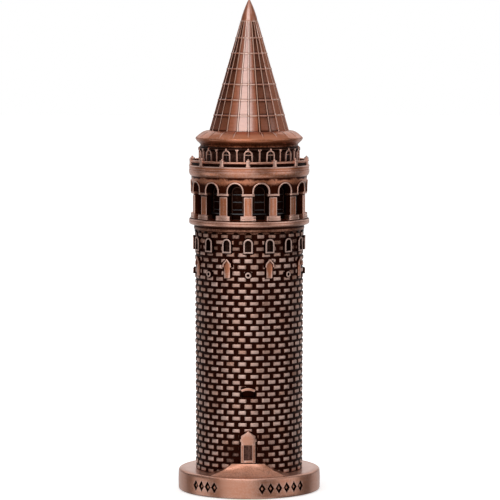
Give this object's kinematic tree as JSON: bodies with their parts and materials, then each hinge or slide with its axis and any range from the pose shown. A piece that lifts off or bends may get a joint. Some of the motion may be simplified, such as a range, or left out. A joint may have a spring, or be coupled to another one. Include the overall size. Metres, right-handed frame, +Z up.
{
  "type": "souvenir tower figurine",
  "caption": "Round medieval stone tower figurine in antique copper, with a brick-relief shaft, arcaded crown, railed balcony and conical roof, standing on a round plinth.",
  "frame": {"origin": "centre of the felt pad's underside, where the figurine rests", "axes": "+Z up along the tower's axis, -Y out of the door at the front, +X to the right of someone facing the door"},
  "size_m": [0.052, 0.0518, 0.18],
  "materials": {
    "antique_copper": "satin",
    "copper_masonry": "satin",
    "patinated_copper": "matte",
    "zinc_plated_steel": "satin",
    "brass": "satin",
    "felt": "matte"
  },
  "bodies": {
    "root": {"felt_pad": "felt", "base_plinth": "antique_copper", "base_washer": "zinc_plated_steel", "base_nut": "zinc_plated_steel", "entrance_mound": "antique_copper", "tower_shaft": "copper_masonry", "door_portal": "antique_copper", "door_leaves": "patinated_copper", "slit_hood": "antique_copper", "lower_cornice": "antique_copper", "arcade_ring": "antique_copper", "arcade_drum": "patinated_copper", "arcade_dowel_left": "zinc_plated_steel", "arcade_dowel_right": "zinc_plated_steel", "balcony_deck": "antique_copper", "balcony_railing": "antique_copper", "gallery_drum": "antique_copper", "gallery_dowel_left": "zinc_plated_steel", "gallery_dowel_right": "zinc_plated_steel", "roof_skirt": "antique_copper", "roof_cone": "antique_copper", "roof_tip": "antique_copper", "tie_rod": "zinc_plated_steel", "roof_insert": "brass"}
  },
  "joints": []
}
